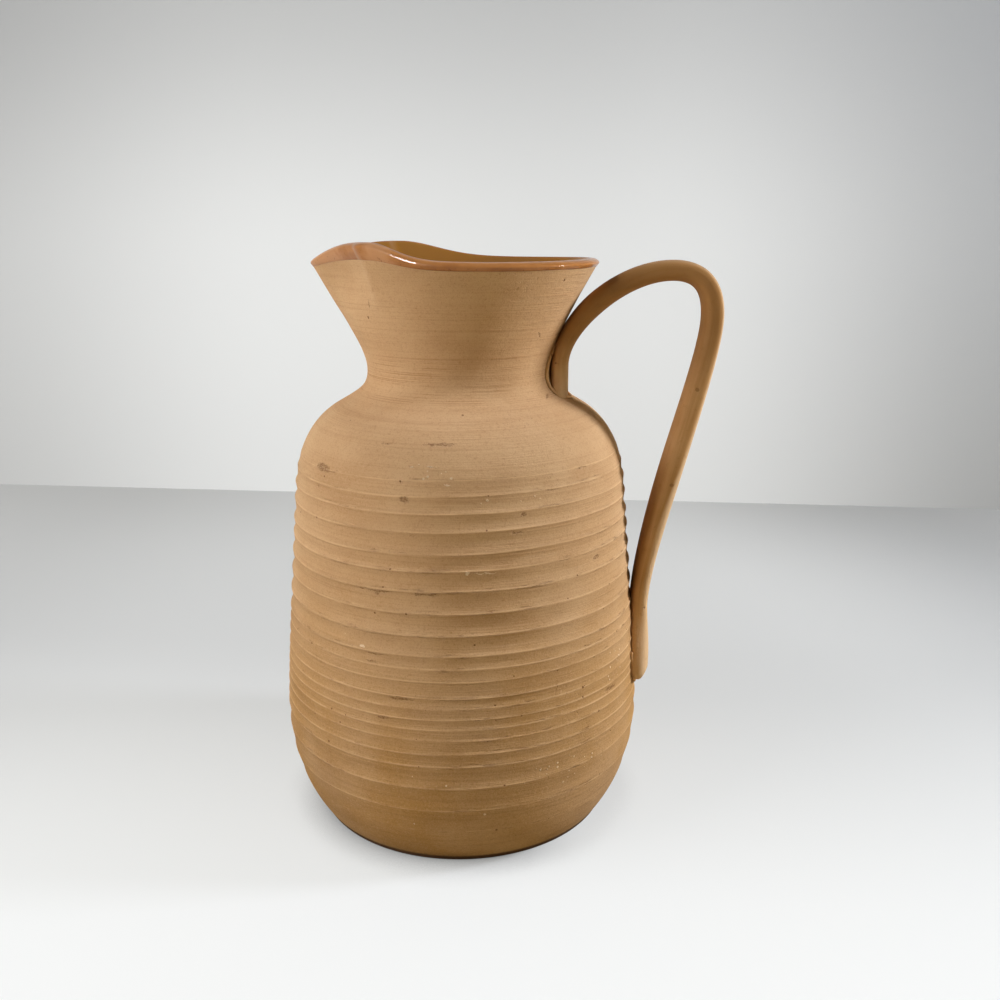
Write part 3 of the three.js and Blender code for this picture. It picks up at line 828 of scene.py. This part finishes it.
def body_clay(name):
    n = Nodes(bpy.data.materials.new(name))
    place = n.coords()
    x, y, z = n.split(place)
    crest, seam = n.attribute("crest"), n.attribute("seam")
    lines = n.noise(n.stretched(7, 7, 1100), 1.0, 3.0, 0.6)
    fine_lines = n.noise(n.stretched(12, 12, 2600), 1.0, 2.0, 0.6)
    broad_lines = n.noise(n.stretched(6, 6, 300), 1.0, 2.0, 0.5)
    mottle = n.noise(place, 20, 3.0, 0.55)
    patches = n.noise(n.stretched(26, 26, 60), 1.0, 2.0, 0.5)
    fine = n.noise(place, 800, 3.0, 0.65)
    grain = n.noise(place, 2000, 2.0, 0.6)
    warp = n.noise(place, 700, 3.0, 0.65)
    other = n.noise(n.stretched(500, 500, 900), 1.0, 3.0, 0.65)

    # Colour of the clay, darker toward the foot as painted shade, with the wheel's lines and the grain
    low = n.ramp(z, 0.155, 0.022)
    dark = n.colour(low, CLAY_DARK, CLAY_DEEP_SHADED)
    light = n.colour(low, CLAY_LIGHT, CLAY)
    colour = n.colour(low, CLAY, CLAY_LOW_SHADED)
    colour = n.colour(n.ramp(mottle, 0.35, 0.68, 0, 0.8), colour, light)
    colour = n.colour(n.ramp(patches, 0.5, 0.75, 0, 0.22), colour, dark)
    colour = n.colour(n.ramp(lines, 0.5, 0.7, 0, 0.2), colour, dark)
    throat = n.product(n.ramp(z, 0.184, 0.194), n.ramp(z, 0.216, 0.200))
    breaks = n.ramp(n.noise(n.stretched(45, 45, 160), 1.0, 3.0, 0.6), 0.38, 0.6)
    drawn = n.product(n.ramp(fine_lines, 0.5, 0.66), n.ramp(throat, 0, 1, 0.12, 0.7), breaks)
    colour = n.colour(drawn, colour, dark)
    colour = n.colour(n.ramp(fine, 0.54, 0.72, 0, 0.30), colour, dark)
    colour = n.colour(n.ramp(fine, 0.46, 0.28, 0, 0.30), colour, CLAY_LIGHT)
    colour = n.colour(n.ramp(grain, 0.54, 0.70, 0, 0.34), colour, dark)
    colour = n.colour(n.ramp(grain, 0.46, 0.30, 0, 0.34), colour, CLAY_LIGHT)

    # Crests are pale in places, partly from wear and partly as painted highlight; a thin painted highlight
    # line runs along them and a thin painted shadow line just under them
    wear_and_highlight = n.product(n.ramp(crest, 0.7, 0.98), n.ramp(n.noise(place, 75, 3.0, 0.6), 0.42, 0.6))
    colour = n.colour(n.product(wear_and_highlight, 0.22), colour, CLAY_PALE_AND_HIGHLIGHT)
    fading = n.noise(n.stretched(34, 34, 220), 1.0, 3.0, 0.65)
    edge = n.product(n.ramp(crest, 0.82, 1.0), n.ramp(fading, 0.38, 0.6), 0.42)
    colour = n.colour(edge, colour, CLAY_PALE_AND_HIGHLIGHT)
    shade = n.product(n.attribute("under"), n.ramp(fading, 0.34, 0.58), 0.34)
    colour = n.colour(shade, colour, dark)

    # Torn clay along the crests, pits, scratches and crumbs
    torn_noise = n.noise(n.stretched(130, 130, 1300), 1.0, 3.0, 0.7)
    near_crest = n.product(n.ramp(crest, 0.1, 0.6), n.ramp(n.noise(place, 34, 2.0, 0.5), 0.42, 0.56))
    torn = n.product(n.ramp(torn_noise, 0.55, 0.63), near_crest)
    flakes = n.product(n.ramp(torn_noise, 0.43, 0.35), near_crest)
    clusters = n.product(n.ramp(n.noise(place, 30, 2.0, 0.5), 0.60, 0.70), n.ramp(warp, 0.56, 0.66))
    pits = dots(n, place, 0.0078, 0.15, 0.0003, 0.0007, warp)
    small_pits = n.product(dots(n, place, 0.0034, 0.4, 0.0002, 0.0006, warp), n.ramp(crest, 0.1, 0.7))
    near_x = n.math("MULTIPLY_ADD", n.math("SUBTRACT", warp, 0.5), 0.0022, x)
    near_z = n.math("MULTIPLY_ADD", n.math("SUBTRACT", other, 0.5), 0.0026, z)
    broken = n.ramp(n.noise(n.stretched(1100, 1100, 1500), 1.0, 3.0, 0.7), 0.42, 0.56, 0.5, 1.0)
    scars = n.product(marks(n, near_x, y, near_z, SCARS), broken)
    sandy = n.product(dots(n, place, 0.0022, 0.55, 0.00025, 0.00065, warp), marks(n, x, y, z, SANDY))
    crumbs = n.total(
        marks(n, near_x, y, near_z, CRUMBS), dots(n, place, 0.0095, 0.09, 0.0003, 0.0006, warp), sandy,
    )
    holes = n.total(
        n.product(torn, 0.5), n.product(clusters, 0.35), pits, small_pits, n.product(scars, 0.75),
    )
    # Painted shadow: a dark band round the lowest few millimetres of the foot, where it meets the table
    painted_foot_shadow = n.ramp(n.math("MULTIPLY_ADD", warp, 0.0006, z), 0.0044, 0.0022, 0, 0.92)
    colour = n.colour(n.ramp(holes, 0.1, 1.0, 0, 0.75), colour, CLAY_HOLE)
    colour = n.colour(n.ramp(seam, 0.2, 0.7, 0, 0.9), colour, CLAY_CRACK_AND_SHADOW)
    colour = n.colour(painted_foot_shadow, colour, CLAY_CRACK_AND_SHADOW)
    colour = n.colour(n.product(flakes, 0.35), colour, CLAY_PALE_AND_HIGHLIGHT)
    colour = n.colour(n.ramp(crumbs, 0.1, 0.9, 0, 0.75), colour, CLAY_CRUMB)

    height = n.total(
        n.product(lines, n.ramp(breaks, 0, 1, 0.6, 1.5)), n.product(fine_lines, 0.6),
        n.product(broad_lines, 0.5), n.product(fine, 0.5), n.product(crumbs, 1.4), n.product(holes, -1.7),
    )
    return matt(n, colour, n.bump(grain, GRAIN_BUMP, n.bump(height, CLAY_BUMP)))


def strap_clay(name, base, light, dark, streaked):
    """Clay of the pulled strap, streaked along it, and of the slip at its joints."""
    n = Nodes(bpy.data.materials.new(name))
    place = n.coords()
    fine = n.noise(place, 420, 3.0, 0.6)
    grain = n.noise(place, 1500, 2.0, 0.6)
    warp = n.noise(place, 700, 3.0, 0.65)
    colour = n.colour(n.ramp(n.noise(place, 30, 3.0, 0.55), 0.35, 0.68), base, light)
    height = n.product(fine, 0.5)
    if streaked:
        run, outward = n.attribute("along"), n.attribute("outward")
        z = n.split(place)[2]
        strand = n.add("CombineXYZ")
        n.link(n.attribute("across"), strand.inputs[0])
        n.link(outward, strand.inputs[1])
        n.link(n.product(run, 0.035), strand.inputs[2])
        broad = n.noise(strand.outputs[0], 0.45, 2.0, 0.5)
        thin = n.noise(strand.outputs[0], 1.9, 3.0, 0.6)
        colour = n.colour(n.ramp(broad, 0.42, 0.68, 0, 0.22), colour, dark)
        colour = n.colour(n.ramp(thin, 0.52, 0.68, 0, 0.14), colour, dark)
        colour = n.colour(n.ramp(thin, 0.44, 0.30, 0, 0.15), colour, light)
        # Painted shade over the arch, and pale at both ends, partly smeared slip and partly painted light
        painted_arch_shade = n.product(n.ramp(run, 14, 34), n.ramp(run, 150, 112))
        colour = n.colour(n.product(painted_arch_shade, 0.8), colour, dark)
        smear_and_painted_light = n.greatest(n.ramp(run, 22, 9), n.ramp(z, 0.100, 0.078, 0, 0.85))
        smear_and_painted_light = n.product(smear_and_painted_light, n.ramp(thin, 0.30, 0.55, 0.75, 1.0))
        colour = n.colour(smear_and_painted_light, colour, STRAP_SMEAR_AND_LIGHT)
        # Painted light along its outer side, more so low down, and painted shade on its inner side low down
        low_down, above_foot = n.ramp(z, 0.170, 0.130), n.ramp(z, 0.085, 0.110)
        outer = n.ramp(n.math("MULTIPLY_ADD", low_down, 2.6, outward), 2.9, 4.3)
        painted_outer_light = n.product(outer, n.ramp(run, 70, 115), n.ramp(above_foot, 0, 1, 0.1, 0.6))
        colour = n.colour(painted_outer_light, colour, STRAP_LIT)
        inner = n.product(n.ramp(outward, -1.2, -3.2), low_down, above_foot, 0.7)
        colour = n.colour(inner, colour, dark)
        height = n.total(height, n.product(thin, 0.6))
    colour = n.colour(n.ramp(fine, 0.56, 0.75, 0, 0.25), colour, dark)
    pits = dots(n, place, 0.0085, 0.2, 0.0004, 0.0010, warp)
    colour = n.colour(n.product(pits, 0.45), colour, CLAY_HOLE)
    height = n.math("SUBTRACT", height, n.product(pits, 1.6))
    return matt(n, colour, n.bump(grain, STRAP_GRAIN_BUMP, n.bump(height, CLAY_BUMP)))


def liner_material(name):
    n = Nodes(bpy.data.materials.new(name))
    place = n.coords()
    mottle = n.noise(place, 60, 3.0, 0.6)
    specks = n.ramp(n.noise(place, 700, 2.0, 0.6), 0.62, 0.74)
    colour = n.colour(n.ramp(mottle, 0.35, 0.65), AMBER, AMBER_DARK)
    colour = n.colour(n.product(specks, 0.4), colour, AMBER_DARK)
    return glossy(n, colour, n.bump(n.noise(place, 90, 2.0, 0.5), 0.0004), 0.75)


def lip_material(name):
    """Rise on the lip is 0 at the dip line, 1 at the crest and 2 inside."""
    n = Nodes(bpy.data.materials.new(name))
    place = n.coords()
    uneven = n.math("SUBTRACT", n.noise(place, 160, 3.0, 0.6), 0.5)
    rise = n.math("MULTIPLY_ADD", uneven, 0.25, n.attribute("rise"))
    x = n.math("MULTIPLY_ADD", uneven, 0.008, n.split(place)[0])
    mottle = n.noise(n.stretched(90, 90, 160), 1.0, 3.0, 0.6)
    specks = n.ramp(n.noise(place, 900, 2.0, 0.6), 0.60, 0.70)
    colour = n.colour(n.ramp(mottle, 0.35, 0.65), LIP, LIP_WARM)
    # The glaze is thin at the spout's tip and past its flank
    past_flank = n.product(n.ramp(x, -0.032, -0.027), n.ramp(x, -0.014, -0.021))
    thin = n.greatest(n.ramp(x, -0.041, -0.046), past_flank)
    colour = n.colour(n.product(thin, 0.6), colour, LIP_THIN)
    edge = n.product(n.ramp(rise, 0.20, 0.05), n.ramp(x, -0.022, 0.0, 0.06, 0.38))
    colour = n.colour(edge, colour, LIP_EDGE)
    colour = n.colour(n.ramp(rise, 1.08, 1.3), colour, AMBER)
    # Painted reflection: the crest is darkened as if its glaze mirrored a dark room
    crest = n.product(n.ramp(rise, 0.84, 1.0), n.ramp(rise, 1.25, 1.08))
    colour = n.colour(n.product(crest, 0.7), colour, LIP_CREST_DARK_REFLECTION)
    edge_specks = n.product(specks, n.ramp(rise, 0.6, 0.15), 0.7)
    colour = n.colour(edge_specks, colour, LIP_EDGE)
    return glossy(n, colour, n.bump(n.noise(place, 140, 2.0, 0.5), 0.0002), 0.42)


AMBER = rgb(145, 97, 36)
AMBER_DARK = rgb(113, 70, 23)
LIP = rgb(168, 108, 54)
LIP_WARM = rgb(180, 120, 64)
LIP_EDGE = rgb(112, 64, 30)
LIP_THIN = rgb(204, 152, 108)
# Painted reflection on the lip's crest, darker as if mirroring a dark room
LIP_CREST_DARK_REFLECTION = rgb(138, 88, 40)
CLAY = rgb(195, 156, 115)
CLAY_LIGHT = rgb(207, 170, 130)
CLAY_DARK = rgb(158, 114, 70)
# Pale clay, used also as the painted highlight on the crests
CLAY_PALE_AND_HIGHLIGHT = rgb(222, 184, 142)
# The next two are painted shade: the clay darkened toward the foot
CLAY_LOW_SHADED = rgb(178, 134, 78)
CLAY_DEEP_SHADED = rgb(130, 92, 50)
CLAY_HOLE = rgb(112, 70, 36)
CLAY_CRUMB = rgb(236, 212, 178)
# Dark of the seams, used also as the painted shadow round the foot
CLAY_CRACK_AND_SHADOW = rgb(64, 38, 20)
# Painted light on the strap's outer side
STRAP_LIT = rgb(224, 192, 156)
# Pale slip smear at the strap's ends, partly painted light
STRAP_SMEAR_AND_LIGHT = rgb(214, 178, 138)
# Heights of the bumps, in metres
CLAY_BUMP = 0.00022
GRAIN_BUMP = 0.0001
STRAP_GRAIN_BUMP = 0.00006

clay_body = body_clay("clay_body")
clay_handle = strap_clay("clay_handle", rgb(190, 145, 95), rgb(204, 162, 114), rgb(146, 102, 54), True)
clay_slip = strap_clay("clay_slip", rgb(206, 162, 114), rgb(224, 184, 140), rgb(150, 104, 60), False)
amber_glaze = liner_material("amber_glaze")
lip_glaze = lip_material("lip_glaze")

# Body
outside, crest_rows, painted_shadow_rows = body_outside()
neck = neck_rows()
lip = lip_curve()
inside = inside_curve()
recess = GLAZE_THICKNESS + SEAT_GAP
under_lip = turned(offset_outline(lip, recess)[1:-1])
under_liner = turned(offset_outline(inside, recess))
none = [np.zeros(COLUMNS)] * (len(neck) + len(under_lip) + len(under_liner))
seams = [
    np.maximum(a, b)
    for a, b in zip(seam_share(outside + neck, UPPER_SEAM), seam_share(outside + neck, LOWER_SEAM))
]
seam_rows = seams + none[len(neck):]
body_rows = outside + neck + under_lip + under_liner
for points, share in zip(body_rows, seam_rows):
    radius = np.maximum(np.hypot(points[:, 0], points[:, 1]), 1)
    points[:, :2] *= (1 - SEAM_GROOVE * share / radius)[:, None]
# Each row carries how near a crest it is, the painted shadow under the crests, and how near a seam it is
body = skin(
    "thrown_body_clay", body_rows,
    {"crest": crest_rows + none, "under": painted_shadow_rows + none, "seam": seam_rows},
    start=(0, 0, 0), end=(0, 0, FLOOR_THICKNESS - recess),
)
finish_piece(body, clay_body, "clay_body", "thrown_body")

# Liner glaze
liner = skin(
    "liner_glaze_coat", turned(np.vstack([offset_outline(inside, GLAZE_THICKNESS)[::-1], inside])),
    start=(0, 0, FLOOR_THICKNESS - GLAZE_THICKNESS), end=(0, 0, FLOOR_THICKNESS),
)
finish_piece(liner, amber_glaze, "amber_glaze", "liner_glaze")

# Lip glaze: rise goes from 0 at its lower edge outside to 1 at the crest, and on to 2 inside
LIP_LOWER_ROWS = [
    (0.9, 0.8), (0.35, 0.35), (0.05, 0.0), (0.1, -0.12), (0.35, -0.2), (0.75, -0.27), (1.1, -0.33),
]
line = dip_line(ANGLES)
lip_rows, rise = [], []


def lip_row(points, value):
    lip_rows.append(points)
    rise.append(np.full(COLUMNS, value))


for above, inset in LIP_LOWER_ROWS:
    lip_row(placed(smooth_radius(line + above) - inset, line + above, ANGLES), above / DIP_DEPTH)
lip_turned = turned(lip)
for i, points in enumerate(lip_turned):
    lip_row(points, mix(0.45, 1.5, i / (len(lip_turned) - 1)))
liner_top = RIM_Z - DIP_INSIDE
inner_z = np.linspace(RIDGE_Z, liner_top - 0.1, 7)[1:]
inner_lip = [(float(smooth_radius(z) - wall_at(z)), z) for z in inner_z]
for i, points in enumerate(turned(inner_lip)):
    lip_row(points, mix(1.5, 2.0, (i + 1) / len(inner_lip)))
back = offset_outline(np.vstack([lip, inner_lip[-1:]]), GLAZE_THICKNESS)[1:][::-1]
for points in turned(back):
    lip_row(points, 2.0)
lip_piece = skin("rim_glaze_coat", lip_rows, {"rise": rise}, loop=True)
finish_piece(lip_piece, lip_glaze, "lip_glaze", "rim_glaze")

# Handle
rows, across, along, outward = strap_rows()
strap = skin(
    "strap_handle_clay", rows[::-1],
    {"across": across[::-1], "along": along[::-1], "outward": outward[::-1]},
    start=rows[-1].mean(axis=0), end=rows[0].mean(axis=0),
)
finish_piece(strap, clay_handle, "clay_handle", "strap_handle")


def slip_bead(name, seam, inward, radius, seed, node):
    path = spline(joint_path(seam, inward), 8)
    ragged = waves(np.linspace(0, TAU, len(path)), seed, [2, 3, 5, 8, 13, 21], 0.35)
    finish_piece(tube(name, path, radius * np.clip(1 + ragged, 0.45, 1.5)), clay_slip, "clay_slip", node)


slip_bead("upper_joint_bead", UPPER_SEAM, 0.95, 0.62, 21, "upper_joint_slip")
slip_bead("lower_joint_bead", LOWER_SEAM[2:], 2.4, 0.4, 22, "lower_joint_slip")


# Table, wall, camera and light
WALL_Y = 0.538
BOUNCE_NEAR = (0.42, 0.365, 0.235, 1)
BOUNCE_FAR = (0.60, 0.54, 0.41, 1)
TABLE_FAR = 0.47
TABLE_NEAR = 0.75
WALL_LEVEL = 0.656
STAGE_GREY = (0.18, 0.182, 0.188, 1)
STAGE_GLOW = (0.99, 1.0, 0.985, 1)
CONTACT_REACH = 0.028


def sheet(name, corners, material):
    mesh = bpy.data.meshes.new(name)
    mesh.from_pydata(corners, [], [[0, 1, 2, 3]])
    plane = bpy.data.objects.new(name, mesh)
    bpy.context.scene.collection.objects.link(plane)
    mesh.materials.append(material)


def seen_rays(n):
    """1 for what is seen, straight or in or through the glaze, and 0 for light on its way to the jug."""
    path = n.add("LightPath")
    return n.greatest(*(path.outputs[f"Is {kind} Ray"] for kind in ("Camera", "Glossy", "Transmission")))


def pale(name, glow):
    """A pale surface with a soft gradient of its own, which keeps shadows and sends little light back."""
    n = Nodes(bpy.data.materials.new(name))
    distance = n.add("VectorMath", operation="LENGTH")
    n.link(n.coords(), distance.inputs[0])
    bounce = n.colour(n.ramp(distance.outputs["Value"], 0.12, 0.42), BOUNCE_NEAR, BOUNCE_FAR)
    shown = n.fill(n.add("BsdfDiffuse"), Color=STAGE_GREY)
    sent = n.fill(n.add("BsdfDiffuse"), Color=bounce)
    light = n.fill(n.add("Emission"), Color=STAGE_GLOW, Strength=glow(n))
    both = n.add("AddShader")
    n.link(shown.outputs[0], both.inputs[0])
    n.link(light.outputs[0], both.inputs[1])
    blend = n.add("MixShader")
    n.link(seen_rays(n), blend.inputs[0])
    n.link(sent.outputs[0], blend.inputs[1])
    n.link(both.outputs[0], blend.inputs[2])
    n.link(blend.outputs[0], n.out.inputs["Surface"])
    return n.owner


def table_glow(n):
    """Brighter toward the front, with a painted shadow where the foot meets the table."""
    x, y, _ = n.split(n.coords())
    corner = n.math("MULTIPLY_ADD", y, 0.45, x)
    level = n.product(
        n.ramp(y, 0.17, -0.17, TABLE_FAR, TABLE_NEAR), n.ramp(y, 0.30, 0.54, 1.0, 0.9),
        n.ramp(corner, 0.28, 0.62, 1.0, 0.45), n.ramp(x, -0.18, -0.45, 1.0, 0.82),
    )
    contact = n.fill(n.add("AmbientOcclusion", samples=8), Distance=CONTACT_REACH)
    shade = n.ramp(contact.outputs["AO"], 0.12, 0.7, 0.25, 1.0)
    return n.product(level, n.greatest(shade, n.ramp(y, 0.25, 0.35), n.ramp(x, 0.0, 0.06, 0, 0.85)))


def wall_glow(n):
    """Brightest left of the jug at the height of the jug, falling off to the corners."""
    x, _, z = n.split(n.coords())
    return n.product(
        n.ramp(x, -0.24, -0.62, WALL_LEVEL, WALL_LEVEL * 0.65), n.ramp(x, 0.10, 0.50, 1.0, 0.3),
        n.ramp(x, -0.22, 0.05, 1.0, 0.91), n.ramp(z, 0.22, 0.52, 1.0, 0.54), n.ramp(z, 0.18, 0.0, 1.0, 0.95),
    )


sheet("table", [(-4, -4, 0), (4, -4, 0), (4, WALL_Y, 0), (-4, WALL_Y, 0)], pale("table_pale", table_glow))
sheet("wall", [(-4, WALL_Y, 0), (4, WALL_Y, 0), (4, WALL_Y, 3), (-4, WALL_Y, 3)], pale("wall_pale", wall_glow))

# The camera was fitted to the photo's outline; its angles are in degrees
CAMERA_PLACE = (0.06055, -0.43087, 0.255)
CAMERA_DOWN = 14.86
CAMERA_TURN = 5.70

camera_data = bpy.data.cameras.new("camera")
camera_data.lens = 36
camera_data.sensor_width = 36
camera_data.clip_start = 0.01
camera_data.clip_end = 50
camera = bpy.data.objects.new("camera", camera_data)
camera.location = CAMERA_PLACE
camera.rotation_euler = Euler((math.radians(90 - CAMERA_DOWN), 0, math.radians(CAMERA_TURN)))
bpy.context.scene.collection.objects.link(camera)
bpy.context.scene.camera = camera

# Each lamp: azimuth and elevation of where it stands as seen from the jug, power, width, height, colour
WHITE = (1, 1, 1)
SOFT_LAMPS = {
    "left_soft": (206, 28, 9.2, 0.7, 0.7, WHITE),
    "right_near": (5, 30, 9.9, 0.15, 0.15, (0.96, 1.01, 1.09)),
    "front_low": (-60, 15, 0.95, 0.6, 0.6, (1.0, 0.80, 0.34)),
}
# Small bright windows, which show only as highlights in the glaze
WINDOWS = {
    "left_window": (241, 24, 40.0, 0.2, 0.5, WHITE),
    "right_window": (5.6, 22, 3.4, 0.10, 0.10, WHITE),
}
LAMP_DISTANCE = 1.0
LAMP_TARGET = (0, 0, 0.12)


def area_lamp(name, azimuth, elevation, power, width, height, colour):
    data = bpy.data.lights.new(name, "AREA")
    data.shape = "RECTANGLE"
    data.size = width
    data.size_y = height
    data.energy = power
    data.color = colour
    lamp = bpy.data.objects.new(name, data)
    a, e = math.radians(azimuth), math.radians(elevation)
    direction = np.array([math.cos(e) * math.cos(a), math.cos(e) * math.sin(a), math.sin(e)])
    lamp.location = direction * LAMP_DISTANCE + np.array(LAMP_TARGET)
    lamp.rotation_euler = Euler((math.pi / 2 - e, 0, a + math.pi / 2))
    lamp.visible_camera = False
    bpy.context.scene.collection.objects.link(lamp)
    return lamp


for lamp_name, values in SOFT_LAMPS.items():
    area_lamp(lamp_name, *values).visible_glossy = False
for lamp_name, values in WINDOWS.items():
    area_lamp(lamp_name, *values).visible_diffuse = False

# The world is pale to look at and dim as light
SKY = (1, 0.98, 0.94, 1)
SKY_SEEN = 0.6
SKY_LIGHT = 0.02

world = bpy.data.worlds.new("world")
sky = Nodes(world, "OutputWorld")
sky_strength = sky.ramp(seen_rays(sky), 0, 1, SKY_LIGHT, SKY_SEEN, soft=False)
background = sky.fill(sky.add("Background"), Color=SKY, Strength=sky_strength)
sky.link(background.outputs[0], sky.out.inputs["Surface"])
bpy.context.scene.world = world
bpy.context.scene.view_settings.view_transform = "Standard"
